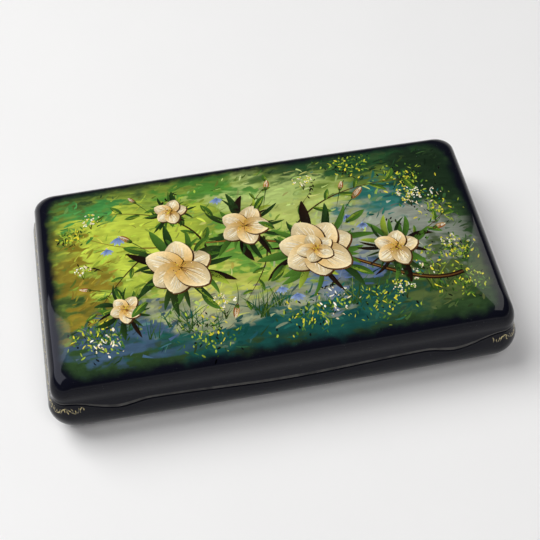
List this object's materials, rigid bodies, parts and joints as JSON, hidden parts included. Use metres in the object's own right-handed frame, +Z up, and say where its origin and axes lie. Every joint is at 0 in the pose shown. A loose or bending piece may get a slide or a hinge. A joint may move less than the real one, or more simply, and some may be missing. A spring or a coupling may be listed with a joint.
{
  "type": "lacquer box",
  "caption": "Low rectangular lacquered papier-mache box with a rolled-edge painted lid, a wavy front seam and a knuckle hinge at the back.",
  "frame": {"origin": "middle of the base plate's underside", "axes": "+X to the right along the length, +Y to the hinge at the back, +Z up"},
  "size_m": [0.144, 0.0796, 0.0276],
  "materials": {
    "black_lacquer": "deep gloss black lacquer over papier-mache",
    "painted_lacquer": "painted foliage under clear gloss lacquer",
    "red_lacquer": "satin red lacquer",
    "brass_wire": "drawn brass wire"
  },
  "bodies": {
    "box": {"base_plate": "black_lacquer", "box_walls": "black_lacquer", "inner_lip": "red_lacquer", "box_knuckle_left": "black_lacquer", "box_knuckle_right": "black_lacquer", "hinge_pin": "brass_wire", "pin_plug_left": "black_lacquer", "pin_plug_right": "black_lacquer"},
    "lid": {"lid_walls": "black_lacquer", "lid_panel": "painted_lacquer", "lid_knuckle": "black_lacquer"}
  },
  "joints": [
    {"name": "lid_hinge", "type": "hinge", "parent": "box", "child": "lid", "pos_m": [0, 0.0366, 0.0166], "axis": [-1, 0, 0], "range_deg": [0, 100]}
  ]
}
